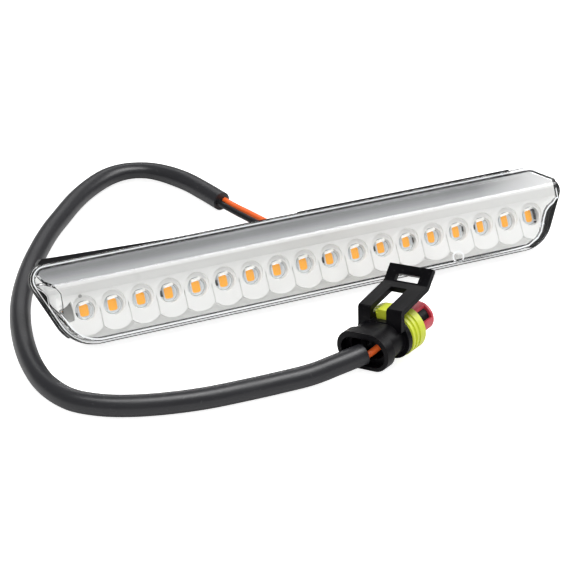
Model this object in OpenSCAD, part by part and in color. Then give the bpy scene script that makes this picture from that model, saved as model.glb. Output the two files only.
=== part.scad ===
// Slim LED indicator lamp with a lead and a sealed two-way plug.
// The lamp leans back on its rear block and the lead lies on the ground, as in the photo.
// X runs along the lamp, Y points to its back, Z is up from the ground it rests on.
// The origin lies on the ground below the lamp, within a millimetre of the middle of the lamp's own depth.

/* [Lamp] */
// distance between neighbouring lights
led_pitch = 8.5; // [6:0.1:12]
// number of lights in the row
led_count = 18; // [6:1:24]
// backward lean of the lamp at rest, degrees
lean = 30; // [0:1:60]
// height of the ring of the outline above the light row, at the top
top_reach = 15.3; // [12:0.1:20]
// reach of the outline below the light row
bottom_reach = 10.4; // [8:0.1:14]

/* [Rear housing] */
// distance from the light plane back to the rear of the tray
tray_depth = 9; // [7:0.5:14]
// distance from the light plane back to the rear of the mounting block
block_depth = 21; // [14:0.5:30]
// left end of the mounting block along the lamp
block_start = 3; // [-20:1:20]
// right end of the mounting block along the lamp
block_end = 73; // [40:1:78]
// thickness of the tray walls
tray_wall = 2; // [1.2:0.1:3]

/* [Lens] */
// distance from the light plane to the front of the lens
lens_front = 5.4; // [4:0.1:12]
// thickness of the clear lens in front, along its slope and at both ends
lens_wall = 1.1; // [0.8:0.1:2]
// thickness of the lens wall along the outline
side_wall = 0.8; // [0.6:0.1:2]
// distance from the middle to the left end of the lens front
lens_left = 82.2; // [70:0.1:84]
// distance from the middle to the right end of the lens front
lens_right = 81.2; // [70:0.1:84]

/* [Reflector] */
// distance from the light plane to the upper ridge of the reflector
ridge_front = 4.1; // [3:0.1:6]
// distance from the light plane to the face with the round holes
face_front = 2; // [1:0.1:4]
// radius of the shallow recess around each light
hole_radius = 3.6; // [2.5:0.05:4]
// radius of the opening that shows the board around each light
window_radius = 2.95; // [2:0.05:3]
// radius of the rounded lobe below each light
lobe_radius = 5.6; // [4.5:0.1:7]

/* [Lead and plug] */
// outer diameter of the black sleeve
sleeve_diameter = 6.2; // [4:0.1:8]
// outer diameter of each wire
wire_diameter = 2; // [1.4:0.1:3]
// direction the plug points along the ground, degrees from X
plug_turn = 28; // [0:1:60]
// roll of the plug about its own axis, degrees
plug_roll = -11; // [-30:1:30]

/* [Hidden] */
$fn = 96;
sin_lean = sin(lean);
cos_lean = cos(lean);
// heights measured up the lamp face from the light row
tray_inset = 1.4;
tray_low = -(bottom_reach - tray_inset);
lift = -tray_low * cos_lean + tray_depth * sin_lean;
block_low = -(lift - block_depth * sin_lean) / cos_lean;
block_high = 15.6;
row_half = (led_count - 1) * led_pitch / 2;
rim_back = 3.8;
rim_front = 2;
board_back = 2.1;
board_front = 0.9;
board_ends = [-80.6, 76.4];
flange_inset = 0.15;
body_inset = 1.1;
rim_setback = 1.1;
// distance of the light row ahead of the origin
lamp_middle = 7.787;
// how far both ends of the lens lean outward for each step back
end_lean = 0.44;
end_turn = atan(end_lean);
ridge_up = 8.7;
slope_foot = 14.2;
reflector_gap = 0.15;
// heights and depths of the hollow face between the reflector's ridge and its lobes
face_high = 5;
face_low = -1;
ridge_lip = 7.6;
lobe_front = 2.7;
lobe_up = -1.6;
lobe_low = -7.4;
ledge_front = 0.6;
recess_root = 1.4;
recess_up = 0.7;
cavity_inset = 3.4;
tray_floor = tray_depth - tray_wall;
// outline corners, clockwise from the upper left: x, height, radius
corners = [
  [-80.9, top_reach - 4.6, 4.6],
  [75.2, top_reach - 4, 4],
  [81.7, 6.6, 3.8],
  [69.5, 1.5, bottom_reach + 1.5],
  [-69, 1.6, bottom_reach + 1.6]
];
// short steps that round each corner
corner_steps = 10;
// cable outlet and fixings on the rear of the lamp
outlet_x = 9.5;
outlet_up = 8.5;
step_depth = 15;
step_end = 16;
insert_x = [26, 63];
insert_up = 7;
insert_radius = 2.75;
thread_radius = 1.65;
insert_length = 9;
// left and right ends of each hollow in the block, clear of the inserts and the board screw
block_hollows = [[30.5, 37], [45.5, 58.5]];
led_size = [3.4, 4.2];
led_window = [2.7, 3.5];
post_x = [-62, -20, 20, 62];
post_up = 3.5;
screw_x = [-41, 41];
screw_up = 7.6;
wire_radius = wire_diameter / 2;
sleeve_radius = sleeve_diameter / 2;
// plug sizes, along its axis from the rear face of the collar
collar_length = 3.4;
mouth_depth = 2.5;
well_depth = 6;
neck_end = 9.9;
flange_end = 11.7;
seal_end = 18.2;
core_end = 24.6;
nose_end = 26.6;
cavity_pitch = 6;
terminal_start = 10.2;
terminal_radius = 1.35;
plug_at = [-5, -51, 7.1];

// Placing and drawing helpers

module lamp_place() {
  translate([0, -lamp_middle, lift]) rotate([-lean, 0, 0]) children();
}

// A flat shape drawn along x and up the face, filled from one distance ahead of the lights to another.
module plate(from, to) {
  translate([0, -from, 0]) rotate([90, 0, 0]) linear_extrude(to - from) children();
}

// A round rod square to the lamp face.
module rod(x, up, from, to, r1, r2) {
  translate([x, -from, up]) rotate([90, 0, 0]) cylinder(h = to - from, r1 = r1, r2 = r2);
}

// Direction square to the edge between two rounded corners, in degrees.
function edge_turn(a, b) =
  let(d = [b[0] - a[0], b[1] - a[1]]) atan2(d[1], d[0]) + acos((a[2] - b[2]) / norm(d));

// The lamp's outline drawn in by inset, with each corner rounded in short steps.
function outline_points(list, inset, steps) = [
  for (i = [0 : len(list) - 1])
    let(
      corner = list[i],
      last = list[(i + len(list) - 1) % len(list)],
      next = list[(i + 1) % len(list)],
      start = edge_turn(last, corner),
      swing = (start - edge_turn(corner, next) + 720) % 360
    )
    for (s = [0 : steps])
      let(turn = start - swing * s / steps)
      [corner[0] + (corner[2] - inset) * cos(turn), corner[1] + (corner[2] - inset) * sin(turn)]
];

module outline(inset) {
  polygon(outline_points(corners, inset, corner_steps));
}

// A profile of distances ahead of the lights and heights, drawn along the whole lamp.
module along_lamp(profile) {
  translate([-100, 0, 0]) rotate([90, 0, 90]) linear_extrude(200)
    polygon([for (point = profile) [-point[0], point[1]]]);
}

// The curved cuts in both ends, drawn square to each leaning end. They move inward with the wall.
module end_cuts(side) {
  translate([70, -lens_front, 0]) rotate([0, 0, -end_turn]) translate([-side, 0, side * 0.6]) plate(-40, 20)
    polygon([
      [20, 4.2], [9.6, 3.6], [8.5, 2.4], [6.9, 1.5], [5.8, 0.4], [4.9, -1.3], [4, -3.4], [3.1, -5.5],
      [1.6, -7.2], [-1.8, -9], [-8, -9.6], [-8, -20], [20, -20]
    ]);
  translate([-80, 0, 0]) rotate([0, 0, end_turn]) translate([side, 0, 0]) plate(-40, 20) polygon([
    [-20, 9.8 + side], [-4.2, 9.4 + side], [-3.2, 8.6 + side], [-2, 7.4], [-1.3, 6], [-1.4, 2.5],
    [-1.9, 0.8 - side], [-20, 0 - side]
  ]);
}

// The faceted front volume shared by the lens and the reflector.
module front_volume(inset, side, front, back) {
  rise = slope_foot - ridge_up;
  drop = inset * norm([lens_front, rise]) / lens_front;
  slope = rise / lens_front;
  difference() {
    intersection() {
      plate(back, front) outline(body_inset + side);
      along_lamp([
        [lens_front + 1, -20], [-4, -20], [-4, slope_foot + 4 * slope - drop],
        [lens_front + 1, ridge_up - slope - drop]
      ]);
      translate([0, 0, -20]) linear_extrude(50) polygon([
        [-lens_left + inset, -lens_front], [lens_right - inset, -lens_front],
        [lens_right - inset + end_lean * (lens_front + 4), 4],
        [-lens_left + inset - end_lean * (lens_front + 4), 4]
      ]);
    }
    end_cuts(side);
  }
}

// Lamp pieces

module cable_passage() {
  rod(outlet_x, outlet_up, -step_depth - 1, -step_depth + 4, 3.4, 3.4);
  rod(outlet_x, outlet_up, -step_depth + 1, -tray_floor + 1, 2.6, 2.6);
}

// The rim reaches the lens edge at both ends and along the upper left, and stays behind it elsewhere.
module rim_shape() {
  outline(rim_setback);
  difference() {
    outline(0);
    polygon([[-78, -2], [-79.6, -3.2], [-77.2, -6.4], [-80, -20], [80, -20], [73, -9.8], [66, -9.1], [60, -2]]);
    polygon([[44, 14], [54, 15.4], [60, 20], [95, 20], [86.4, 8.2], [82.4, 9.9], [76, 8]]);
  }
}

module rear_housing() {
  color("#232326") lamp_place() {
    difference() {
      union() {
        plate(-rim_back, -rim_front) rim_shape();
        plate(-tray_depth, -rim_back + 0.5) outline(tray_inset);
        // raised rib along the upper left edge
        plate(-tray_depth + 1, -rim_back) polygon([
          [-81.5, 12], [-81.5, 15.6], [-80.3, 16.7], [-38, 15.2], [-38, 12]
        ]);
        // mounting block with a lower step for the cable outlet
        plate(-step_depth, -tray_depth + 1) translate([block_start, block_low])
          square([block_end - block_start, block_high - block_low]);
        plate(-block_depth, -step_depth + 1) translate([step_end, block_low])
          square([block_end - step_end, block_high - block_low]);
      }
      plate(-tray_floor, 0) outline(cavity_inset);
      // hollows inside the block, open to the tray
      for (hollow = block_hollows)
        plate(-block_depth + 2.4, -tray_floor + 1) translate([hollow[0], block_low + 3])
          square([hollow[1] - hollow[0], block_high - block_low - 6.5]);
      cable_passage();
      for (x = insert_x)
        rod(x, insert_up, -block_depth - 1, -block_depth + insert_length, insert_radius, insert_radius);
    }
    for (x = post_x) rod(x, post_up, -tray_floor - 0.5, -board_back, 2.6, 2.2);
    for (x = screw_x) difference() {
      rod(x, screw_up, -tray_floor - 0.5, -board_back, 2.4, 2.4);
      rod(x, screw_up, -tray_floor + 1, 0, 1, 1);
    }
  }
}

module lens() {
  color("#dfe6ea", 0.5) lamp_place() difference() {
    union() {
      plate(-rim_front, 0) outline(flange_inset);
      front_volume(0, 0, lens_front, -0.5);
      // moulding gate left on the lower edge
      rod(43.7, -7.4, lens_front - 0.5, lens_front + 0.12, 1.2, 1.2);
    }
    front_volume(lens_wall, side_wall, lens_front - lens_wall, -rim_front - 1);
  }
}

// The face drops back from the ridge to the holes and comes forward again over the lobes.
module reflector() {
  fit = side_wall + reflector_gap;
  color("#f2f2ef") lamp_place() difference() {
    front_volume(lens_wall + reflector_gap, fit, ridge_front, -board_front);
    along_lamp([
      [9, ridge_lip], [ridge_front, ridge_lip], [face_front + 0.2, face_high], [face_front, face_low],
      [lobe_front, lobe_low], [lobe_front, -20], [9, -20]
    ]);
    // ledge below and beside the rounded lobes
    difference() {
      plate(ledge_front, lens_front) translate([-90, -14]) square([180, 12]);
      for (i = [0 : led_count - 1])
        rod(-row_half + i * led_pitch, lobe_up, 0, lens_front + 1, lobe_radius, lobe_radius);
    }
    for (i = [0 : led_count - 1]) {
      x = -row_half + i * led_pitch;
      rod(x, 0, -board_front - 1, recess_root + 0.4, window_radius, window_radius);
      rod(x, recess_up, recess_root, face_front + 0.5, hole_radius - 0.15, hole_radius + 0.1);
    }
    // grooves between neighbouring lobes
    for (i = [0 : led_count - 2])
      translate([-row_half + (i + 0.5) * led_pitch, -face_front - 0.15, -4]) rotate([-6, 0, 0])
        rotate([0, 0, 45]) cube([0.5, 0.5, 9], center = true);
    // shallow pocket beside the first light
    plate(ledge_front, lens_front)
      polygon([[-79.4, 1.2], [-77.2, 2.4], [-76, 3.4], [-75.6, 0.6], [-75.8, -2.2], [-78.4, -2.6]]);
    // pockets behind for the heads of the board screws
    for (x = screw_x) rod(x, screw_up, -board_front - 1, 0.7, 2.3, 2.3);
  }
}

module circuit_board() {
  color("#eef0ee") lamp_place() difference() {
    plate(-board_back, -board_front) intersection() {
      outline(cavity_inset + 0.2);
      translate([board_ends[0], -20]) square([board_ends[1] - board_ends[0], 40]);
    }
    for (x = screw_x) rod(x, screw_up, -board_back - 1, 0, 1.3, 1.3);
  }
}

module led(i) {
  lamp_place() translate([-row_half + i * led_pitch, 0, 0]) {
    color("#f4f4f0") plate(-board_front, -0.1) difference() {
      square(led_size, center = true);
      square(led_window, center = true);
    }
    color("#f6b03a") plate(-board_front, 0) square(led_window, center = true);
  }
}

// A small part on the rear face of the board.
module board_part(x, up, width, height, depth, tint) {
  color(tint) lamp_place() plate(-board_back - depth, -board_back)
    translate([x - width / 2, up - height / 2]) square([width, height]);
}

module driver_chip() { board_part(50, 5, 6, 5, 1.6, "#26262a"); }
module input_diode() { board_part(32, -2, 5.2, 2.8, 2.2, "#2a2a2d"); }
module surge_clamp() { board_part(-8, -2, 4.6, 2.6, 2, "#2a2a2d"); }
module series_resistor() { board_part(57, -3, 6.4, 3.2, 0.7, "#1f1f22"); }

module board_screw(x) {
  color("#c9ccd0") lamp_place() {
    rod(x, screw_up, -tray_floor + 1.4, -board_front + 0.1, 0.95, 0.95);
    difference() {
      rod(x, screw_up, -board_front, 0.4, 2, 1.7);
      plate(-0.1, 1) translate([x - 1.1, screw_up - 0.25]) square([2.2, 0.5]);
      plate(-0.1, 1) translate([x - 0.25, screw_up - 1.1]) square([0.5, 2.2]);
    }
  }
}

module insert(x) {
  color("#c8a24a") lamp_place() difference() {
    rod(x, insert_up, -block_depth, -block_depth + insert_length, insert_radius, insert_radius);
    rod(x, insert_up, -block_depth - 1, -block_depth + insert_length - 1, thread_radius, thread_radius);
  }
}

module cable_gland() {
  color("#2e2e30") lamp_place() {
    rod(outlet_x, outlet_up, -step_depth - 1.8, -step_depth, 3.9, 4.6);
    rod(outlet_x, outlet_up, -step_depth, -step_depth + 4, 3.4, 3.4);
  }
}

wire_gap = 1.25;
gland_face = step_depth + 1.8;

module tail(side, tint) {
  color(tint) lamp_place()
    rod(outlet_x + side * wire_gap, outlet_up, -step_depth + 4, -board_back, wire_radius, wire_radius);
}

module tail_orange() { tail(1, "#ee7733"); }
module tail_black() { tail(-1, "#2a2a2c"); }

// Cord pieces

function unit(v) = v / norm(v);

function bend(a, b, c, d, t) =
  0.5 * ((2 * b) + (c - a) * t + (2 * a - 5 * b + 4 * c - d) * t * t + (3 * b - a - 3 * c + d) * t * t * t);

// Points along a smooth route through the given stops.
function route(stops, steps) = let(last = len(stops) - 1) [
  for (i = [0 : last - 1])
    let(
      a = i == 0 ? 2 * stops[0] - stops[1] : stops[i - 1],
      d = i == last - 1 ? 2 * stops[last] - stops[last - 1] : stops[i + 2]
    )
    for (s = [0 : (i == last - 1 ? steps : steps - 1)]) bend(a, stops[i], stops[i + 1], d, s / steps)
];

module tube(line, radius, sides, first, final) {
  last = len(line) - 1;
  points = [
    for (i = [0 : last])
      let(
        along = i == 0 ? first : i == last ? final : unit(line[i + 1] - line[i - 1]),
        across = unit(cross(along, [0, 0, 1])),
        up = cross(across, along)
      )
      for (k = [0 : sides - 1])
        line[i] + radius * (cos(360 * k / sides) * across + sin(360 * k / sides) * up)
  ];
  faces = concat(
    [[for (k = [0 : sides - 1]) k]],
    [[for (k = [0 : sides - 1]) last * sides + sides - 1 - k]],
    [
      for (i = [0 : last - 1]) for (k = [0 : sides - 1])
        let(n = (k + 1) % sides)
        [i * sides + k, (i + 1) * sides + k, (i + 1) * sides + n, i * sides + n]
    ]
  );
  polyhedron(points = points, faces = faces, convexity = 10);
}

sleeve_z = sleeve_radius;
sleeve_stops = [
  [-5, 56, sleeve_z], [-7.5, 65, sleeve_z], [-10.5, 74, sleeve_z], [-15, 82, sleeve_z],
  [-20, 87, sleeve_z], [-26.5, 89, sleeve_z], [-33.5, 87.5, sleeve_z], [-41, 82.5, sleeve_z],
  [-48.5, 75.5, sleeve_z], [-56, 66.5, sleeve_z], [-63, 57.5, sleeve_z], [-69.5, 47.5, sleeve_z],
  [-75.5, 37, sleeve_z], [-80.5, 26.5, sleeve_z], [-84.5, 16, sleeve_z], [-87.5, 5, sleeve_z],
  [-89.5, -6, sleeve_z], [-90.3, -17, sleeve_z], [-89.5, -27, sleeve_z], [-86, -36, sleeve_z],
  [-80, -41.7, sleeve_z], [-72.5, -45.6, sleeve_z], [-63, -48.5, sleeve_z], [-52, -50.4, sleeve_z],
  [-41, -51, sleeve_z], [-30, -51.2, sleeve_z], [-20.5, -51.2, sleeve_z + 0.2], [-13, -51.3, sleeve_z + 1.5],
  [-4.6, -50.8, sleeve_z + 2.7]
];
sleeve_first = unit([-0.27, 0.96, 0]);
sleeve_final = unit([0.97, 0.2, 0.12]);

// Wire ends on the sleeve, side by side across it.
function on_sleeve(stop, along, side) = stop + side * wire_gap * unit(cross(along, [0, 0, 1]));

module sleeve() {
  color("#38383a") tube(route(sleeve_stops, 2), sleeve_radius, 12, sleeve_first, sleeve_final);
}

// World position of a point given along the lamp, up its face and ahead of the lights.
function lamp_point(x, up, ahead) =
  [x, -ahead * cos_lean + up * sin_lean - lamp_middle, lift + ahead * sin_lean + up * cos_lean];

outlet_dir = [0, cos_lean, -sin_lean];

module lead(side, tint) {
  start = lamp_point(outlet_x + side * wire_gap, outlet_up, -gland_face);
  finish = on_sleeve(sleeve_stops[0], sleeve_first, side);
  low = wire_radius + 0.2;
  stops = [
    start, start + 4 * outlet_dir,
    side > 0 ? [8.4, 28, low + 2.6] : [5.4, 27.5, low + 2.6],
    side > 0 ? [4.6, 36, low + 1.2] : [1.8, 35.5, low + 1.2],
    side > 0 ? [0.4, 46, low + 1.4] : [-2.2, 45, low + 1.4],
    finish - 4 * sleeve_first, finish
  ];
  color(tint) tube(route(stops, 4), wire_radius, 8, outlet_dir, sleeve_first);
}

module lead_orange() { lead(1, "#ee7733"); }
module lead_black() { lead(-1, "#2a2a2c"); }

// Plug pieces, drawn with x along the plug and z up before they are placed

module plug_place() {
  translate(plug_at) rotate([0, 0, plug_turn]) rotate([plug_roll, 0, 0]) children();
}

// A rod with flat sides and half-round ends, lying along x.
module stadium(from, to, width, height) {
  translate([from, 0, 0]) rotate([90, 0, 90]) linear_extrude(to - from) {
    square([width - height, height], center = true);
    for (side = [-1, 1]) translate([side * (width - height) / 2, 0]) circle(d = height);
  }
}

// Round bores for the two contacts, lying along the plug.
module contact_bores(from, to, radius) {
  for (side = [-1, 1]) translate([from, side * cavity_pitch / 2, 0])
    rotate([0, 90, 0]) cylinder(h = to - from, r = radius);
}

module plug_housing() {
  latch_right = -8.1;
  latch_width = 15.3;
  slot_width = 5.6;
  slot_start = 5.2;
  plate_turn = 45.7;
  color("#1f1f22") plug_place() {
    difference() {
      union() {
        translate([0, 0, -0.3]) stadium(0, collar_length, 18, 11.4);
        stadium(collar_length - 0.5, neck_end + 0.5, 15.4, 9.8);
        stadium(neck_end, flange_end, 18.2, 12.8);
        stadium(flange_end - 0.5, seal_end, 14, 8.4);
        stadium(seal_end - 0.5, core_end, 11.6, 7.2);
      }
      translate([0, 0, -0.6]) stadium(-1, mouth_depth, 15.2, 8.4);
      stadium(mouth_depth - 0.5, well_depth, 11.4, 6.4);
      contact_bores(well_depth - 0.5, terminal_start, 2);
      contact_bores(terminal_start - 0.5, core_end + 1, terminal_radius);
      // notch in the flange that shows the seal between the latch legs
      translate([neck_end - 0.5, -slot_width / 2, 4.3]) cube([flange_end - neck_end + 1, slot_width, 5]);
    }
    // latch frame standing at the flange and reaching forward over the seal
    difference() {
      translate([0, latch_right + latch_width, 0]) rotate([90, 0, 0]) linear_extrude(latch_width) polygon([
        [8.2, 3], [9.3, 8.4], [9.9, 9.1], [22.4, 11.2], [26.3, 15], [27.3, 13.9], [23.3, 9.9],
        [22.7, 9.6], [10.9, 7.6], [10.6, 7.2], [10.1, 3]
      ]);
      translate([7, -slot_width / 2, slot_start]) cube([12.9, slot_width, 12]);
      translate([24.1, -0.4, 11.7]) rotate([0, plate_turn, 0]) cube([6, 8.2, 2.1], center = true);
    }
  }
}

module ring_seal() {
  color("#cdd738") plug_place() difference() {
    union() {
      stadium(flange_end, seal_end, 17.6, 12.2);
      for (i = [0 : 1]) stadium(flange_end + 0.4 + 1.7 * i, flange_end + 1.3 + 1.7 * i, 18.6, 13.2);
      stadium(flange_end + 3.8, flange_end + 6.2, 18.6, 13.2);
      // flat-topped key between the latch legs
      translate([flange_end, -1.1, 5.4]) cube([4, 3.4, 1.9]);
    }
    stadium(flange_end - 1, seal_end + 1, 14, 8.4);
  }
}

// A cap round the front of the core, open at both upper corners.
module secondary_lock() {
  cap_start = seal_end + 0.8;
  color("#c83c4b") plug_place() difference() {
    union() {
      stadium(cap_start, nose_end - 0.8, 13, 8.8);
      stadium(nose_end - 1, nose_end, 11.4, 7.2);
    }
    stadium(cap_start - 1, core_end, 11.6, 7.2);
    contact_bores(core_end - 0.5, nose_end + 1, terminal_radius);
    for (side = [0, 180]) rotate([side, 0, 0]) translate([cap_start - 0.1, -8, 0.4]) cube([6, 3.8, 5]);
  }
}

module wire_seal(side) {
  color("#3a3a3c") plug_place() translate([well_depth, side * cavity_pitch / 2, 0]) rotate([0, 90, 0]) {
    cylinder(h = 4, r = 1.7);
    for (i = [0 : 2]) translate([0, 0, 0.4 + 1.3 * i]) cylinder(h = 0.7, r = 2);
  }
}

module terminal(side) {
  color("#b9bcc0") plug_place() translate([terminal_start, side * cavity_pitch / 2, 0]) rotate([0, 90, 0])
    difference() {
      cylinder(h = 13, r = terminal_radius);
      translate([0, 0, 6]) cylinder(h = 8, r = 0.8);
    }
}

function plug_point(x, y, z) =
  let(y1 = y * cos(plug_roll) - z * sin(plug_roll), z1 = y * sin(plug_roll) + z * cos(plug_roll))
  plug_at + [x * cos(plug_turn) - y1 * sin(plug_turn), x * sin(plug_turn) + y1 * cos(plug_turn), z1];

module plug_wire(side, tint) {
  line_end = sleeve_stops[len(sleeve_stops) - 1];
  start = on_sleeve(line_end, sleeve_final, -side);
  finish = plug_point(well_depth, side * cavity_pitch / 2, 0);
  final = [cos(plug_turn), sin(plug_turn), 0];
  stops = [start, start + 1.2 * sleeve_final, finish - 1.2 * final, finish];
  color(tint) tube(route(stops, 2), wire_radius, 8, sleeve_final, final);
}

module plug_wire_orange() { plug_wire(-1, "#ee7733"); }
module plug_wire_black() { plug_wire(1, "#2a2a2c"); }

rear_housing();
lens();
reflector();
circuit_board();
led(0);  // led_01
led(1);  // led_02
led(2);  // led_03
led(3);  // led_04
led(4);  // led_05
led(5);  // led_06
led(6);  // led_07
led(7);  // led_08
led(8);  // led_09
led(9);  // led_10
led(10);  // led_11
led(11);  // led_12
led(12);  // led_13
led(13);  // led_14
led(14);  // led_15
led(15);  // led_16
led(16);  // led_17
led(17);  // led_18
driver_chip();
input_diode();
surge_clamp();
series_resistor();
board_screw(screw_x[0]);  // board_screw_1
board_screw(screw_x[1]);  // board_screw_2
insert(insert_x[0]);  // insert_1
insert(insert_x[1]);  // insert_2
cable_gland();
tail_orange();
tail_black();
lead_orange();
lead_black();
sleeve();
plug_housing();
ring_seal();
secondary_lock();
wire_seal(-1);  // wire_seal_1
wire_seal(1);  // wire_seal_2
terminal(-1);  // terminal_1
terminal(1);  // terminal_2
plug_wire_orange();
plug_wire_black();
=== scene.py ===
import math

import bmesh
import bpy
from mathutils import Matrix, Vector


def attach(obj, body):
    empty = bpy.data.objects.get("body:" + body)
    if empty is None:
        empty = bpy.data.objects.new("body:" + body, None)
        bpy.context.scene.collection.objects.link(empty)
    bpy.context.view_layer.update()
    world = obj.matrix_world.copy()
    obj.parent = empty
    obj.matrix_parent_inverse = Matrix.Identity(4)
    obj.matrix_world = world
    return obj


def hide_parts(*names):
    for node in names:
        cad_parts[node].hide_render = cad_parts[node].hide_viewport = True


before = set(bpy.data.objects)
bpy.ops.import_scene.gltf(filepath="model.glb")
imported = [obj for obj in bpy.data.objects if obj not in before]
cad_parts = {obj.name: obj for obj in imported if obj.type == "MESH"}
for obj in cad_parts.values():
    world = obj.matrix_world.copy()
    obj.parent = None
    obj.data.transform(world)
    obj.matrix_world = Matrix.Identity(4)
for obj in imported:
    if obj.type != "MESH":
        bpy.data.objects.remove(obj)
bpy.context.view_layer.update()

# Sizes taken over from the solids, in metres
MM = 0.001
LEAN = math.radians(30)
LIFT = 12.2942 * MM
LAMP_MIDDLE = 7.7872 * MM
SLOPE_LOW = 8 * MM
SLOPE_HIGH = 13.2 * MM
LED_PITCH = 8.5 * MM
LED_COUNT = 18
ROW_HALF = (LED_COUNT - 1) * LED_PITCH / 2
SLEEVE_RADIUS = 3.1 * MM
WIRE_RADIUS = 1.0 * MM
WIRE_GAP = 1.25 * MM
PLUG_AT = Vector((-5, -51, 7.1)) * MM
PLUG_TURN = math.radians(28)
PLUG_ROLL = math.radians(-11)
WELL_DEPTH = 6 * MM
CAVITY_HALF = 3 * MM
OUTLET_X = 9.5 * MM
OUTLET_UP = 8.5 * MM
OUTLET_BACK = 16.8 * MM

# Brings a point given along the lamp, behind its lights and up its face into the scene.
LAMP_PLACE = Matrix.Translation((0, -LAMP_MIDDLE, LIFT)) @ Matrix.Rotation(-LEAN, 4, "X")
FROM_LAMP = LAMP_PLACE.inverted()
UP_FACE = Vector((0, math.sin(LEAN), math.cos(LEAN)))
PLUG_TILT = Matrix.Rotation(PLUG_TURN, 4, "Z") @ Matrix.Rotation(PLUG_ROLL, 4, "X")
PLUG_PLACE = Matrix.Translation(PLUG_AT) @ PLUG_TILT


def on_lamp(x, up, ahead):
    """A scene point from x along the lamp, height up its face and distance ahead of its lights."""
    return LAMP_PLACE @ Vector((x, -ahead, up))


def on_face(point):
    """A scene point given back as x along the lamp, height up its face and distance ahead of its lights."""
    local = FROM_LAMP @ point
    return local.x, local.z, -local.y


# Camera

EYE = Vector((-198.7, -447.2, 282.6)) * MM
SIGHT = Vector((0.3419, 0.7957, -0.5)).normalized()
FOCAL_PIXELS = 1858
FRAME_PIXELS = 570
SENSOR_MM = 36

right = SIGHT.cross(Vector((0, 0, 1))).normalized()
upward = right.cross(SIGHT).normalized()
turn = Matrix((right, upward, -SIGHT)).transposed().to_4x4()
lens_data = bpy.data.cameras.new("camera")
lens_data.lens = FOCAL_PIXELS / FRAME_PIXELS * SENSOR_MM
lens_data.sensor_width = SENSOR_MM
lens_data.clip_start = 0.01
camera = bpy.data.objects.new("camera", lens_data)
camera.matrix_world = Matrix.Translation(EYE) @ turn
bpy.context.scene.collection.objects.link(camera)
bpy.context.scene.camera = camera


# Finishes

def srgb(red, green, blue):
    """A colour as a picture names it, in the linear levels that a shader takes."""
    def linear(level):
        level = level / 255
        return level / 12.92 if level <= 0.04045 else ((level + 0.055) / 1.055) ** 2.4
    return (linear(red), linear(green), linear(blue), 1.0)


def new_group(name, inputs, outputs):
    """A shader node group with its named inputs and outputs."""
    group = bpy.data.node_groups.new(name, "ShaderNodeTree")
    for label, kind, value in inputs:
        socket = group.interface.new_socket(name=label, in_out="INPUT", socket_type=kind)
        socket.default_value = value
    for label, kind in outputs:
        group.interface.new_socket(name=label, in_out="OUTPUT", socket_type=kind)
    return group, group.nodes.new("NodeGroupInput"), group.nodes.new("NodeGroupOutput")


def math_node(tree, operation, first, second):
    node = tree.nodes.new("ShaderNodeMath")
    node.operation = operation
    for index, value in enumerate((first, second)):
        if isinstance(value, (int, float)):
            node.inputs[index].default_value = value
        else:
            tree.links.new(value, node.inputs[index])
    return node.outputs[0]


def noise_node(tree, place, scale, detail=3.0):
    node = tree.nodes.new("ShaderNodeTexNoise")
    node.inputs["Detail"].default_value = detail
    tree.links.new(place, node.inputs["Vector"])
    if isinstance(scale, (int, float)):
        node.inputs["Scale"].default_value = scale
    else:
        tree.links.new(scale, node.inputs["Scale"])
    return node.outputs["Fac"]


def range_node(tree, value, low, high, least=0.0):
    """A value spread from low and high to least and 1, and held between them."""
    node = tree.nodes.new("ShaderNodeMapRange")
    node.inputs["From Min"].default_value = low
    node.inputs["From Max"].default_value = high
    node.inputs["To Min"].default_value = least
    tree.links.new(value, node.inputs["Value"])
    return node.outputs["Result"]


def mix_node(tree, share, first, second, blend="MIX"):
    """Two colours mixed by a share of the second."""
    node = tree.nodes.new("ShaderNodeMix")
    node.data_type = "RGBA"
    node.blend_type = blend
    tree.links.new(share, node.inputs["Factor"])
    tree.links.new(first, node.inputs["A"])
    if isinstance(second, tuple):
        node.inputs["B"].default_value = second
    else:
        tree.links.new(second, node.inputs["B"])
    return node.outputs["Result"]


# The level of the fine noise at which specks of dust start, and at which they are full
SPECKS_START = 0.66
SPECKS_FULL = 0.7433


def moulded_finish():
    """Moulded plastic: a slight drift of tone, fine grain, and a few specks of dust."""
    group, given, result = new_group(
        "moulded_finish",
        [
            ("Tone", "NodeSocketColor", (0.5, 0.5, 0.5, 1)),
            ("Dust tone", "NodeSocketColor", (0.5, 0.5, 0.5, 1)),
            ("Dust", "NodeSocketFloat", 0.3),
            ("Drift", "NodeSocketFloat", 0.1),
            ("Grain scale", "NodeSocketFloat", 3000.0),
            ("Gloss", "NodeSocketFloat", 0.4),
        ],
        [("Color", "NodeSocketColor"), ("Roughness", "NodeSocketFloat"), ("Grain", "NodeSocketFloat")],
    )
    place = group.nodes.new("ShaderNodeTexCoord").outputs["Object"]
    broad = noise_node(group, place, 60.0)
    grain = noise_node(group, place, given.outputs["Grain scale"])
    specks = range_node(group, noise_node(group, place, 900.0, 2.0), SPECKS_START, SPECKS_FULL)
    dusty = math_node(group, "MULTIPLY", specks, given.outputs["Dust"])
    shade = range_node(group, broad, 0.3, 0.7, least=0.6)
    tone = mix_node(group, given.outputs["Drift"], given.outputs["Tone"], shade, "MULTIPLY")
    tone = mix_node(group, dusty, tone, given.outputs["Dust tone"])
    spread = math_node(group, "MULTIPLY", math_node(group, "SUBTRACT", broad, 0.5), 0.25)
    group.links.new(tone, result.inputs["Color"])
    group.links.new(math_node(group, "ADD", given.outputs["Gloss"], spread), result.inputs["Roughness"])
    group.links.new(grain, result.inputs["Grain"])
    return group


MOULDED = moulded_finish()


def new_material(name):
    made = bpy.data.materials.new(name)
    made.use_nodes = True
    return made, made.node_tree, made.node_tree.nodes["Principled BSDF"]


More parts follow.
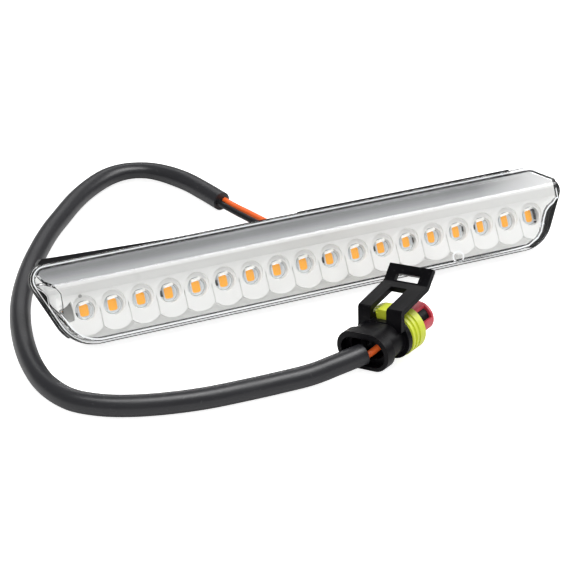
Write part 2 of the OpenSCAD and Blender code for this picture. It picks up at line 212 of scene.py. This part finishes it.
def plastic(
    name, tone, gloss=0.4, dust=0.15, drift=0.12, grain=2500.0, bump=0.05, coat=0.0, shine=0.5, glow=0.0,
):
    """A moulded plastic, rubber or lacquer finish with its own tone and grain, and a faint glow that paints
    light onto it.
    """
    made, tree, shader = new_material(name)
    finish = tree.nodes.new("ShaderNodeGroup")
    finish.node_tree = MOULDED
    finish.inputs["Tone"].default_value = tone
    finish.inputs["Dust tone"].default_value = tuple(0.7 * level + 0.12 for level in tone[:3]) + (1,)
    finish.inputs["Dust"].default_value = dust
    finish.inputs["Drift"].default_value = drift
    finish.inputs["Grain scale"].default_value = grain
    finish.inputs["Gloss"].default_value = gloss
    raised = tree.nodes.new("ShaderNodeBump")
    raised.inputs["Strength"].default_value = bump
    raised.inputs["Distance"].default_value = 0.0002
    tree.links.new(finish.outputs["Color"], shader.inputs["Base Color"])
    tree.links.new(finish.outputs["Roughness"], shader.inputs["Roughness"])
    tree.links.new(finish.outputs["Grain"], raised.inputs["Height"])
    tree.links.new(raised.outputs["Normal"], shader.inputs["Normal"])
    shader.inputs["Specular IOR Level"].default_value = shine
    shader.inputs["Emission Color"].default_value = tone
    shader.inputs["Emission Strength"].default_value = glow
    shader.inputs["Coat Weight"].default_value = coat
    shader.inputs["Coat Roughness"].default_value = 0.15
    return made


def metal(name, tone, gloss=0.3):
    """A bare metal with a slight drift of tone."""
    made = plastic(name, tone, gloss, drift=0.25, bump=0.08)
    made.node_tree.nodes["Principled BSDF"].inputs["Metallic"].default_value = 1.0
    return made


def clear_plastic(name, tint, passed, roughness=0.03):
    """Clear plastic that lets a share of the light through to what lies behind it."""
    made, tree, shader = new_material(name)
    shader.inputs["Base Color"].default_value = tint
    shader.inputs["Roughness"].default_value = roughness
    shader.inputs["IOR"].default_value = 1.49
    shader.inputs["Transmission Weight"].default_value = 1.0
    rays = tree.nodes.new("ShaderNodeLightPath")
    passing = math_node(tree, "MAXIMUM", rays.outputs["Is Shadow Ray"], rays.outputs["Is Diffuse Ray"])
    through = tree.nodes.new("ShaderNodeBsdfTransparent")
    through.inputs["Color"].default_value = (passed, passed, passed, 1)
    blend = tree.nodes.new("ShaderNodeMixShader")
    output = tree.nodes["Material Output"]
    tree.links.new(passing, blend.inputs["Fac"])
    tree.links.new(shader.outputs["BSDF"], blend.inputs[1])
    tree.links.new(through.outputs["BSDF"], blend.inputs[2])
    tree.links.new(blend.outputs["Shader"], output.inputs["Surface"])
    return made


# Where the painted shade on top of the reflector starts to turn pale, and where it is palest
PAINTED_PALE_START_X = 56 * MM
PAINTED_PALE_FULL_X = 82 * MM
# Brightness of its bands of painted shade and painted reflection, from the low edge at 0 to the high edge
# at 1
PAINTED_SLOPE_BANDS = ((0.0, 0.24), (0.2, 0.36), (0.42, 0.25), (0.68, 0.15), (0.86, 0.14), (1.0, 0.28))
STREAK_STRETCH = 25


def slope_painted_shade_finish(name):
    """The top slope of the reflector in painted shade and painted reflection: greys that run in streaky
    bands along the lamp.
    """
    made, tree, shader = new_material(name)
    point = tree.nodes.new("ShaderNodeTexCoord").outputs["Object"]
    stretched = tree.nodes.new("ShaderNodeMapping")
    stretched.inputs["Scale"].default_value = (1 / STREAK_STRETCH, 1, 1)
    tree.links.new(point, stretched.inputs["Vector"])
    streaks = noise_node(tree, stretched.outputs["Vector"], 700.0, 2.0)
    raised = tree.nodes.new("ShaderNodeVectorMath")
    raised.operation = "DOT_PRODUCT"
    raised.inputs[1].default_value = UP_FACE
    tree.links.new(point, raised.inputs[0])
    bottom = on_lamp(0, SLOPE_LOW, 0).dot(UP_FACE)
    height = range_node(tree, raised.outputs["Value"], bottom, bottom + SLOPE_HIGH - SLOPE_LOW)
    shift = math_node(tree, "MULTIPLY", math_node(tree, "SUBTRACT", streaks, 0.5), 0.25)
    bands = tree.nodes.new("ShaderNodeValToRGB")
    tree.links.new(math_node(tree, "ADD", height, shift), bands.inputs["Fac"])
    stops = bands.color_ramp.elements
    for index, (at, level) in enumerate(PAINTED_SLOPE_BANDS):
        stop = stops.new(at) if 0 < at < 1 else stops[index]
        stop.position = at
        stop.color = (level * 0.98, level, level * 1.03, 1)
    sides = tree.nodes.new("ShaderNodeSeparateXYZ")
    tree.links.new(point, sides.inputs["Vector"])
    ending = range_node(tree, sides.outputs["X"], PAINTED_PALE_START_X, PAINTED_PALE_FULL_X)
    tone = mix_node(tree, ending, bands.outputs["Color"], (0.75, 0.75, 0.75, 1))
    tree.links.new(tone, shader.inputs["Base Color"])
    roughness = math_node(tree, "ADD", math_node(tree, "MULTIPLY", streaks, 0.2), 0.35)
    tree.links.new(roughness, shader.inputs["Roughness"])
    return made


FINISHES = {
    "housing_black": plastic("housing_black", srgb(17, 17, 19), 0.4, grain=1800.0, bump=0.12, shine=0.2),
    "lens_clear": clear_plastic("lens_clear", (0.985, 0.99, 0.99, 1), 0.93),
    "cover_clear": clear_plastic("cover_clear", (0.99, 0.995, 1, 1), 0.99),
    "lens_painted_highlight": plastic("lens_painted_highlight", srgb(244, 246, 247), 0.3, dust=0.0, drift=0.05, bump=0.02),
    "reflector_white": plastic(
        "reflector_white", srgb(246, 246, 244), 0.32, dust=0.0, drift=0.03, bump=0.02, coat=0.3),
    "slope_painted_shade": slope_painted_shade_finish("slope_painted_shade"),
    "pocket_painted_shade": plastic(
        "pocket_painted_shade", srgb(158, 158, 156), 0.45, dust=0.5, drift=0.6, grain=1500.0, bump=0.3),
    # The board, the light packages and the amber windows glow faintly: painted light. The packages' pale
    # grey-blue tone is painted shade on white.
    "board_white": plastic("board_white", srgb(234, 238, 240), 0.35, dust=0.0, drift=0.05, glow=0.14),
    "led_package": plastic("led_package", srgb(212, 217, 221), 0.4, dust=0.0, drift=0.04, glow=0.08),
    "led_rim": plastic("led_rim", srgb(255, 255, 252), 0.3, dust=0.0, drift=0.02, glow=0.3),
    "led_amber": plastic("led_amber", srgb(255, 172, 8), 0.45, dust=0.0, drift=0.06, shine=0.3, glow=0.22),
    "component_black": plastic("component_black", srgb(34, 34, 36), 0.5),
    "screw_steel": metal("screw_steel", srgb(196, 198, 202), 0.3),
    "insert_brass": metal("insert_brass", srgb(200, 166, 92), 0.32),
    "gland_rubber": plastic("gland_rubber", srgb(44, 44, 46), 0.6),
    "wire_orange": plastic("wire_orange", srgb(250, 108, 44), 0.35, drift=0.1),
    "wire_black": plastic("wire_black", srgb(26, 26, 28), 0.38, shine=0.3),
    "sleeve_black": plastic("sleeve_black", srgb(40, 40, 43), 0.36, grain=900.0, bump=0.1, shine=0.4),
    "plug_black": plastic("plug_black", srgb(10, 9, 12), 0.34, grain=1800.0, bump=0.06, shine=0.12),
    "seal_lime": plastic("seal_lime", srgb(206, 216, 58), 0.38, drift=0.08),
    "lock_red": plastic("lock_red", srgb(202, 58, 74), 0.34, drift=0.1),
    "terminal_tin": metal("terminal_tin", srgb(188, 190, 194), 0.28),
}


# Mesh helpers

def show(name, mesh, finishes, replaced=(), smooth_angle=35.0):
    """Puts a finished mesh in the scene, riding on the lamp."""
    made = bpy.data.objects.new(name, mesh)
    bpy.context.scene.collection.objects.link(made)
    for finish in finishes:
        mesh.materials.append(FINISHES[finish])
    mesh.shade_smooth()
    mesh.set_sharp_from_angle(angle=math.radians(smooth_angle))
    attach(made, "root")
    if replaced:
        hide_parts(*replaced)
    return made


def mesh_of(shape, name, place=None):
    """Ends a bmesh and gives its mesh, placed in the scene."""
    if place is not None:
        bmesh.ops.transform(shape, matrix=place, verts=shape.verts)
    mesh = bpy.data.meshes.new(name)
    shape.to_mesh(mesh)
    shape.free()
    return mesh


def solid_copy(node):
    """A closed, merged copy of a solid with its flat faces whole again."""
    shape = bmesh.new()
    shape.from_mesh(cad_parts[node].data)
    bmesh.ops.remove_doubles(shape, verts=shape.verts, dist=1e-6)
    bmesh.ops.dissolve_limit(shape, angle_limit=math.radians(0.6), verts=shape.verts, edges=shape.edges)
    for face in shape.faces:
        face.material_index = 0
    return shape


def rounded(shape, edges, width, segments):
    """Rounds the given edges."""
    bmesh.ops.bevel(
        shape, geom=edges, offset=width, segments=segments, affect="EDGES", profile=0.5, material=-1)


def round_edges(shape, wanted, width, segments):
    """Rounds the sharp outer edges whose two ends both pass the test."""
    edges = [edge for edge in shape.edges
             if edge.is_manifold and edge.is_convex and edge.calc_face_angle() > math.radians(20)
             and all(wanted(*on_face(vert.co)) for vert in edge.verts)]
    rounded(shape, edges, width, segments)


def rounded_block(shape, centre, size, width, segments=3):
    """Adds a block with rounded edges to a shape."""
    place = Matrix.Translation(centre) @ Matrix.Diagonal((*size, 1))
    made = bmesh.ops.create_cube(shape, size=1.0, matrix=place)
    edges = list({edge for vert in made["verts"] for edge in vert.link_edges})
    rounded(shape, edges, width, segments)


def softened(node, finish, width, segments=3, angle=32.0, shape=None, more=()):
    """A copy of a solid with its hard edges rounded."""
    shape = shape or solid_copy(node)
    finishes = [finish, *more]
    made = show(node + "_finished", mesh_of(shape, node), finishes, [node], smooth_angle=angle)
    rounding = made.modifiers.new("edge_rounding", "BEVEL")
    rounding.width = width
    rounding.segments = segments
    rounding.limit_method = "ANGLE"
    rounding.angle_limit = math.radians(angle)
    rounding.harden_normals = True
    rounding.miter_outer = "MITER_ARC"
    return made


# Cords

def smooth_route(stops, steps):
    """Points along a smooth curve through the stops."""
    first = 2 * stops[0] - stops[1]
    final = 2 * stops[-1] - stops[-2]
    full = [first] + stops + [final]
    line = []
    for index in range(1, len(full) - 2):
        a, b, c, d = full[index - 1:index + 3]
        count = steps + 1 if index == len(full) - 3 else steps
        for step in range(count):
            t = step / steps
            bend = (3 * b - a - 3 * c + d) * t ** 3
            line.append(0.5 * (2 * b + (c - a) * t + (2 * a - 5 * b + 4 * c - d) * t * t + bend))
    return line


def tube(name, line, radius, sides, first, final, finish, replaced, section=None):
    """A cord's skin: a round end pulled along its line ring by ring, closed at both ends."""
    shape = bmesh.new()
    rings = []
    for index, centre in enumerate(line):
        if index == 0:
            along = first
        elif index == len(line) - 1:
            along = final
        else:
            along = (line[index + 1] - line[index - 1]).normalized()
        across = along.cross(Vector((0, 0, 1))).normalized()
        rise = across.cross(along)
        wide, high = section(centre) if section else (1.0, 1.0)
        placed = Matrix((across * wide, rise * high, along)).transposed().to_4x4()
        placed.translation = centre
        rings.append(placed)
    start = bmesh.ops.create_circle(shape, cap_ends=True, segments=sides, radius=radius)
    bmesh.ops.transform(shape, matrix=rings[0], verts=start["verts"])
    rim = list(shape.edges)
    before = rings[0]
    for placed in rings[1:]:
        pulled = bmesh.ops.extrude_edge_only(shape, edges=rim)["geom"]
        verts = [part for part in pulled if isinstance(part, bmesh.types.BMVert)]
        rim = [part for part in pulled if isinstance(part, bmesh.types.BMEdge)
               and all(vert in verts for vert in part.verts)]
        bmesh.ops.transform(shape, matrix=placed @ before.inverted(), verts=verts)
        before = placed
    bmesh.ops.contextual_create(shape, geom=rim)
    bmesh.ops.recalc_face_normals(shape, faces=shape.faces)
    return show(name, mesh_of(shape, name), [finish], replaced, smooth_angle=50.0)


SLEEVE_STOPS = [
    (-5, 56, 0), (-7.5, 65, 0), (-10.5, 74, 0), (-15, 82, 0), (-20, 87, 0), (-26.5, 89, 0),
    (-33.5, 87.5, 0), (-41, 82.5, 0), (-48.5, 75.5, 0), (-56, 66.5, 0), (-63, 57.5, 0),
    (-69.5, 47.5, 0), (-75.5, 37, 0), (-80.5, 26.5, 0), (-84.5, 16, 0), (-87.5, 5, 0),
    (-89.5, -6, 0), (-90.3, -17, 0), (-89.5, -27, 0), (-86, -36, 0), (-80, -41.7, 0),
    (-72.5, -45.6, 0), (-63, -48.5, 0), (-52, -50.4, 0), (-41, -51, 0), (-30, -51.2, 0),
    (-20.5, -51.2, 0.2), (-13, -51.3, 1.5), (-4.6, -50.8, 2.7),
]
sleeve_stops = [Vector(stop) * MM + Vector((0, 0, SLEEVE_RADIUS)) for stop in SLEEVE_STOPS]
sleeve_line = smooth_route(sleeve_stops, 8)
sleeve_first = Vector((-0.27, 0.96, 0)).normalized()
sleeve_final = Vector((0.97, 0.2, 0.12)).normalized()
KINK = Vector((-22, 88, 3.1)) * MM


def sleeve_section(centre):
    """The sleeve flattens a little where it is bent tightest."""
    near = max(0.0, 1 - (centre - KINK).length / (16 * MM))
    ease = near * near * (3 - 2 * near)
    return 1.0 + 0.05 * ease, 1.0 - 0.16 * ease


def beside(stop, along, side):
    """The point where one of the two wires lies beside the middle of the sleeve."""
    return stop + side * WIRE_GAP * along.cross(Vector((0, 0, 1))).normalized()


LEAD_STRAIGHT = 4 * MM
PLUG_WIRE_STRAIGHT = 1.2 * MM

sleeve = tube(
    "sleeve_skin", sleeve_line, SLEEVE_RADIUS, 28, sleeve_first, sleeve_final, "sleeve_black", ["sleeve"],
    sleeve_section)
outlet_dir = Vector((0, math.cos(LEAN), -math.sin(LEAN)))
lead_lines = {}
for label, side, middle in (
    ("orange", 1, [(8.4, 28, 3.8), (4.6, 36, 2.4), (0.4, 46, 2.6)]),
    ("black", -1, [(5.4, 27.5, 3.8), (1.8, 35.5, 2.4), (-2.2, 45, 2.6)]),
):
    start = on_lamp(OUTLET_X + side * WIRE_GAP, OUTLET_UP, -OUTLET_BACK)
    final = beside(sleeve_stops[0], sleeve_first, side)
    stops = [start, start + LEAD_STRAIGHT * outlet_dir]
    stops += [Vector(stop) * MM for stop in middle]
    stops += [final - LEAD_STRAIGHT * sleeve_first, final]
    lead_lines[label] = smooth_route(stops, 8)
    tube(
        "lead_" + label + "_skin", lead_lines[label], WIRE_RADIUS, 16, outlet_dir, sleeve_first,
        "wire_" + label, ["lead_" + label])

plug_final = Vector((math.cos(PLUG_TURN), math.sin(PLUG_TURN), 0))
for label, side in (("orange", -1), ("black", 1)):
    start = beside(sleeve_stops[-1], sleeve_final, -side)
    final = PLUG_PLACE @ Vector((WELL_DEPTH, side * CAVITY_HALF, 0))
    stops = [
        start, start + PLUG_WIRE_STRAIGHT * sleeve_final, final - PLUG_WIRE_STRAIGHT * plug_final, final]
    tube(
        "plug_wire_" + label + "_skin", smooth_route(stops, 6), WIRE_RADIUS, 16, sleeve_final, plug_final,
        "wire_" + label, ["plug_wire_" + label])


# Lamp body

LENS_FRONT = 5.4 * MM
FLANGE_BACK = -2 * MM
LEDGE_FRONT = 0.6 * MM
RIDGE_UP = 8.7 * MM
# How high the painted highlight band along the front of the lens reaches, and where it turns up at the
# right end
BAND_TOP = 7.4 * MM
BAND_TURN_X = 60 * MM
# Left of this the whole edge of the flange gets the painted highlight.
LEFT_END_X = -60 * MM
# The shallow pocket beside the first light, whose floor is painted grey as shade
POCKET_X = -75.6 * MM
POCKET_LOW = -2.7 * MM
POCKET_HIGH = 3.5 * MM
# How close two measures on a solid are to count as the same
NEAR = 0.1 * MM


def middle_of(face):
    """Where the middle of a face lies on the lamp."""
    return on_face(face.calc_center_median())


def facing_of(face):
    """The way a face looks: x along the lamp, y away from its front, z up its face."""
    return FROM_LAMP.to_3x3() @ face.normal


def level_faces(shape, ahead):
    """The faces that lie flat at one distance ahead of the lights."""
    return [face for face in shape.faces
            if abs(middle_of(face)[2] - ahead) < NEAR and abs(facing_of(face).y) > 0.99]


def over_black(x, up):
    """Where the black rim reaches the edge of the flange, at the lower right."""
    return (x > 72 * MM and up < 10.5 * MM) or (x > 62 * MM and up < -4 * MM)


def lens_body():
    """The lens with its ridge and flange rounded.

    Pale matt strips along its edges are painted highlights, where light is caught in the clear plastic.
    """
    shape = solid_copy("lens")
    front = level_faces(shape, LENS_FRONT)
    around = list({part for face in front for part in [*face.edges, *face.verts]})
    bmesh.ops.bisect_plane(
        shape, geom=front + around, plane_co=on_lamp(0, BAND_TOP, 0), plane_no=UP_FACE)
    front = [face for face in level_faces(shape, LENS_FRONT) if middle_of(face)[1] < BAND_TOP]
    bmesh.ops.inset_region(shape, faces=front, thickness=0.25 * MM)
    # A narrow band along the lower front edge is painted as a highlight.
    for face in bmesh.ops.inset_region(shape, faces=front, thickness=0.5 * MM)["faces"]:
        x, up, ahead = middle_of(face)
        if up < BAND_TOP - MM and (up < 0 or x > BAND_TURN_X):
            face.material_index = 1
    round_edges(
        shape, lambda x, up, ahead: abs(ahead - LENS_FRONT) < NEAR and abs(up - RIDGE_UP) < NEAR,
        0.65 * MM, 5)
    round_edges(shape, lambda x, up, ahead: abs(ahead) < NEAR, 0.35 * MM, 3)
    flange = level_faces(shape, 0)
    bmesh.ops.inset_region(shape, faces=flange, thickness=0.1 * MM)
    # The outer edge of the flange is painted as a highlight, except where it lies over the black rim.
    for face in bmesh.ops.inset_region(shape, faces=flange, thickness=0.19 * MM)["faces"]:
        x, up, ahead = middle_of(face)
        if not over_black(x, up) and (up > 0 or x < LEFT_END_X):
            face.material_index = 1
    behind = level_faces(shape, FLANGE_BACK)
    bmesh.ops.inset_region(shape, faces=behind, thickness=0.4 * MM)
    # The back of the lower flange is painted pale, standing for light seen through the clear rim.
    for face in level_faces(shape, FLANGE_BACK):
        x, up, ahead = middle_of(face)
        if face not in behind and up < 0 and not over_black(x, up):
            face.material_index = 1
    # Points that ended up on top of each other would spoil the rounding of the edges.
    bmesh.ops.dissolve_degenerate(shape, dist=1e-6, edges=shape.edges)
    return shape


def reflector_body():
    """The reflector, with painted shade on its top slope and on the floor of its pocket."""
    shape = solid_copy("reflector")
    for face in shape.faces:
        facing = facing_of(face)
        x, up, ahead = middle_of(face)
        # Faces on the top slope take the painted shade and painted reflection.
        if facing.z > 0.6 and up > SLOPE_LOW:
            face.material_index = 1
        # The floor of the pocket takes the grey painted shade.
        in_pocket = x < POCKET_X and POCKET_LOW < up < POCKET_HIGH
        if abs(facing.y) > 0.9 and in_pocket and abs(ahead - LEDGE_FRONT) < NEAR:
            face.material_index = 2
    return shape


softened("rear_housing", "housing_black", 0.4 * MM)
softened("cable_gland", "gland_rubber", 0.35 * MM)
softened("lens", "lens_clear", 0.25 * MM, shape=lens_body(), more=["lens_painted_highlight"])
softened(
    "reflector", "reflector_white", 0.15 * MM, segments=2, shape=reflector_body(),
    more=["slope_painted_shade", "pocket_painted_shade"])


# Lights

LED_WIDE = 3.4 * MM
LED_HIGH = 4.2 * MM
WINDOW_WIDE = 2.7 * MM
WINDOW_HIGH = 3.5 * MM
# The windows narrow by this much from one light to the next.
WINDOW_TAPER = 0.033 * MM
# Distances behind the plane of the lights
LED_BACK = 0.9 * MM
LED_RIM = 0.1 * MM
# The glowing white bar above each window: a painted highlight on the rim of the light
HIGHLIGHT_BAR_SIZE = (3.0 * MM, 0.5 * MM, 0.85 * MM)
HIGHLIGHT_BAR_PLACE = (
    Matrix.Translation((0.3 * MM, -0.1 * MM, 2.1 * MM)) @ Matrix.Rotation(math.radians(-9), 4, "Y"))
# The clear cover over each light
COVER_RADIUS = 2.7 * MM
COVER_FRONT = 0.75 * MM
COVER_WALL = 0.15 * MM
COVER_ROUNDING = 1.1 * MM


def led_place(index):
    return LAMP_PLACE @ Matrix.Translation((-ROW_HALF + index * LED_PITCH, 0, 0))


def led_light(index):
    """One light: a pale package with round edges, a rounded amber window and a white bar above it as a
    painted highlight.
    """
    shape = bmesh.new()
    package = LED_BACK - LED_RIM
    rounded_block(shape, Vector((0, LED_BACK - package / 2, 0)), (LED_WIDE, package, LED_HIGH), 0.25 * MM)
    pale = set(shape.faces)
    wide = WINDOW_WIDE - index * WINDOW_TAPER
    window = Matrix.Translation((0, LED_BACK / 2, 0)) @ Matrix.Diagonal((wide, LED_BACK, WINDOW_HIGH, 1))
    bmesh.ops.create_cube(shape, size=1.0, matrix=window)
    along = [edge for edge in shape.edges if not set(edge.link_faces) & pale
             and abs((edge.verts[0].co - edge.verts[1].co).y) > LED_BACK / 2]
    rounded(shape, along, 0.75 * MM, 6)
    front = [edge for edge in shape.edges if all(vert.co.y < NEAR / 2 for vert in edge.verts)]
    rounded(shape, front, 0.2 * MM, 3)
    amber = set(shape.faces) - pale
    rounded_block(shape, Vector((0, 0, 0)), HIGHLIGHT_BAR_SIZE, 0.2 * MM)
    highlight_bar = {vert for face in set(shape.faces) - pale - amber for vert in face.verts}
    bmesh.ops.transform(shape, verts=list(highlight_bar), matrix=HIGHLIGHT_BAR_PLACE)
    for face in shape.faces:
        face.material_index = 0 if face in pale else 1 if face in amber else 2
    name = "led_%02d" % (index + 1)
    show(
        name + "_light", mesh_of(shape, name, led_place(index)), ["led_package", "led_amber", "led_rim"],
        [name])


def clear_cover(index):
    """The thin clear cover of one light: flat in front, with a widely rounded rim that catches light."""
    shape = bmesh.new()
    depth = LED_BACK + COVER_FRONT
    place = Matrix.Translation((0, LED_BACK - depth / 2, 0)) @ Matrix.Rotation(math.radians(90), 4, "X")
    bmesh.ops.create_cone(
        shape, cap_ends=True, segments=48, radius1=COVER_RADIUS, radius2=COVER_RADIUS, depth=depth,
        matrix=place)
    rim = [edge for edge in shape.edges if all(vert.co.y < -COVER_FRONT + NEAR for vert in edge.verts)]
    rounded(shape, rim, COVER_ROUNDING, 8)
    back = [face for face in shape.faces if face.normal.y > 0.9]
    bmesh.ops.delete(shape, geom=back, context="FACES")
    bmesh.ops.solidify(shape, geom=shape.faces, thickness=COVER_WALL)
    mesh = mesh_of(shape, "light_cover", led_place(index))
    show("light_cover_%02d" % (index + 1), mesh, ["cover_clear"])


for index in range(LED_COUNT):
    led_light(index)
for index in range(LED_COUNT):
    clear_cover(index)


def board_chips():
    """Small dark parts soldered on the board, seen at the edges of some holes.

    Each row gives the light, the place and size beside it in millimetres.
    """
    shape = bmesh.new()
    for light, across, up, wide, high in (
        (4, -2.4, 0.1, 0.9, 1.9), (6, -2.4, -0.1, 0.9, 1.8), (10, -2.4, 0.0, 0.9, 2.0),
        (12, -2.4, 0.1, 0.8, 1.6), (16, -2.4, 0.2, 0.8, 1.6), (13, 2.2, 0.2, 0.4, 1.8),
        (15, 2.2, 0.3, 0.4, 1.8), (18, 1.7, -2.0, 0.8, 0.6), (1, -2.5, -0.9, 0.6, 1.3),
        (18, 1.75, 0.2, 0.8, 2.9), (18, 1.35, 1.55, 1.0, 0.7),
    ):
        x = -ROW_HALF + (light - 1) * LED_PITCH + across * MM
        centre = Vector((x, -0.5 * MM, up * MM))
        rounded_block(shape, centre, (wide * MM, 0.5 * MM, high * MM), 0.12 * MM, 2)
    show("board_chips", mesh_of(shape, "board_chips", LAMP_PLACE), ["component_black"])


board_chips()


def round_marks(name, finish, marks, front, depth):
    """Low round marks on a flat face of the lamp, given as x, height and radius in millimetres."""
    shape = bmesh.new()
    upright = Matrix.Rotation(math.radians(90), 4, "X")
    for x, up, radius in marks:
        place = Matrix.Translation((x * MM, -front * MM, up * MM)) @ upright
        bmesh.ops.create_cone(
            shape, cap_ends=True, segments=32, radius1=radius * MM, radius2=radius * MM, depth=depth * MM,
            matrix=place)
    show(name, mesh_of(shape, name, LAMP_PLACE), [finish])


# The pin mark shares the grey of the pocket's painted shade.
round_marks("reflector_pin", "pocket_painted_shade", [(-73.1, 4.3, 0.5)], 2.2, 0.6)
round_marks(
    "rear_marks", "housing_black",
    [(-72, 8, 1.6), (-72, 0, 1.6), (-50, 10, 1.6), (-50, -5, 1.6), (-28, 10, 1.6), (-28, -5, 1.6),
     (-6, 10, 1.6), (-6, -5, 1.6)], -9, 0.3)


def rear_ribs():
    """Low ribs along the back of the tray, left of the mounting block."""
    shape = bmesh.new()
    for up, left, right in ((6.5, -76, 0.5), (2.5, -76, 0.5), (-1.5, -74, 0.5)):
        centre = Vector(((left + right) / 2 * MM, 9.2 * MM, up * MM))
        rounded_block(shape, centre, ((right - left) * MM, 0.9 * MM, 0.9 * MM), 0.25 * MM)
    show("rear_ribs", mesh_of(shape, "rear_ribs", LAMP_PLACE), ["housing_black"])


rear_ribs()


# Plug

plug_shell = softened("plug_housing", "plug_black", 0.4 * MM)
ring_seal = softened("ring_seal", "seal_lime", 0.35 * MM)
red_lock = softened("secondary_lock", "lock_red", 0.4 * MM)

# Solids that keep their own shape

for node, finish in {
    "circuit_board": "board_white",
    "driver_chip": "component_black", "input_diode": "component_black",
    "surge_clamp": "component_black", "series_resistor": "component_black",
    "board_screw_1": "screw_steel", "board_screw_2": "screw_steel",
    "insert_1": "insert_brass", "insert_2": "insert_brass",
    "tail_orange": "wire_orange", "tail_black": "wire_black",
    "wire_seal_1": "gland_rubber", "wire_seal_2": "gland_rubber",
    "terminal_1": "terminal_tin", "terminal_2": "terminal_tin",
}.items():
    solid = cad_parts[node]
    solid.data.materials.clear()
    solid.data.materials.append(FINISHES[finish])


# Stage and lights

def sight_level(tree, seen_level, glossy_level, rest):
    """A glow with one level seen directly or through the lens, one in reflections, and one for the rest."""
    rays = tree.nodes.new("ShaderNodeLightPath")
    seen = math_node(tree, "MAXIMUM", rays.outputs["Is Camera Ray"], rays.outputs["Is Transmission Ray"])
    seen = math_node(tree, "MULTIPLY", seen, seen_level - rest)
    glossy = math_node(tree, "MULTIPLY", rays.outputs["Is Glossy Ray"], glossy_level - rest)
    return math_node(tree, "ADD", math_node(tree, "ADD", seen, glossy), rest)


def stage_material(name, tone, level):
    """Seen directly it is nearly white, and it still takes the lamp's shadow."""
    made, tree, shader = new_material(name)
    shader.inputs["Base Color"].default_value = tone
    shader.inputs["Roughness"].default_value = 0.9
    shader.inputs["Specular IOR Level"].default_value = 0.0
    shader.inputs["Emission Color"].default_value = (1, 1, 1, 1)
    glow = sight_level(tree, seen_level=level, glossy_level=0.0, rest=0.0)
    tree.links.new(glow, shader.inputs["Emission Strength"])
    return made


floor_mesh = bpy.data.meshes.new("floor")
floor_shape = bmesh.new()
bmesh.ops.create_grid(floor_shape, x_segments=1, y_segments=1, size=3.0)
floor_shape.to_mesh(floor_mesh)
floor_shape.free()
floor = bpy.data.objects.new("floor", floor_mesh)
floor_mesh.materials.append(stage_material("floor_pale", srgb(235, 235, 235), 0.8))
bpy.context.scene.collection.objects.link(floor)
floor.location.z = -0.0003

world = bpy.data.worlds.new("studio")
bpy.context.scene.world = world
world.use_nodes = True
sky = world.node_tree.nodes["Background"]
sky.inputs["Color"].default_value = (1, 1, 1, 1)
sky_level = sight_level(world.node_tree, seen_level=1.0, glossy_level=0.2, rest=0.53)
world.node_tree.links.new(sky_level, sky.inputs["Strength"])


LIT_POINT = Vector((0, 0, 0.01))


def area_light(name, at, size, power, mirrored=True, lighting=True):
    """A flat light that looks at the lamp, with its long side level."""
    data = bpy.data.lights.new(name, "AREA")
    data.shape = "RECTANGLE"
    data.size, data.size_y = size
    data.energy = power
    made = bpy.data.objects.new(name, data)
    back = (Vector(at) - LIT_POINT).normalized()
    wide = (Vector((1, 0, 0)) - back * back.x).normalized()
    aim = Matrix((wide, back.cross(wide), back)).transposed().to_4x4()
    made.matrix_world = Matrix.Translation(at) @ aim
    made.visible_diffuse = lighting
    made.visible_glossy = mirrored
    bpy.context.scene.collection.objects.link(made)


area_light("top_light", (0.1, -0.05, 0.9), (1.1, 0.3), 6.6)
area_light("front_light", (-0.55, -0.75, 0.55), (0.6, 0.6), 2.3, mirrored=False)
area_light("back_light", (0.25, 0.85, 0.6), (0.9, 0.25), 1.5)
# A card that only shows in what shiny surfaces mirror
area_light("shine_card", (0.5, -0.28, 0.9), (1.6, 0.5), 14, lighting=False)

bpy.context.scene.view_settings.view_transform = "Standard"
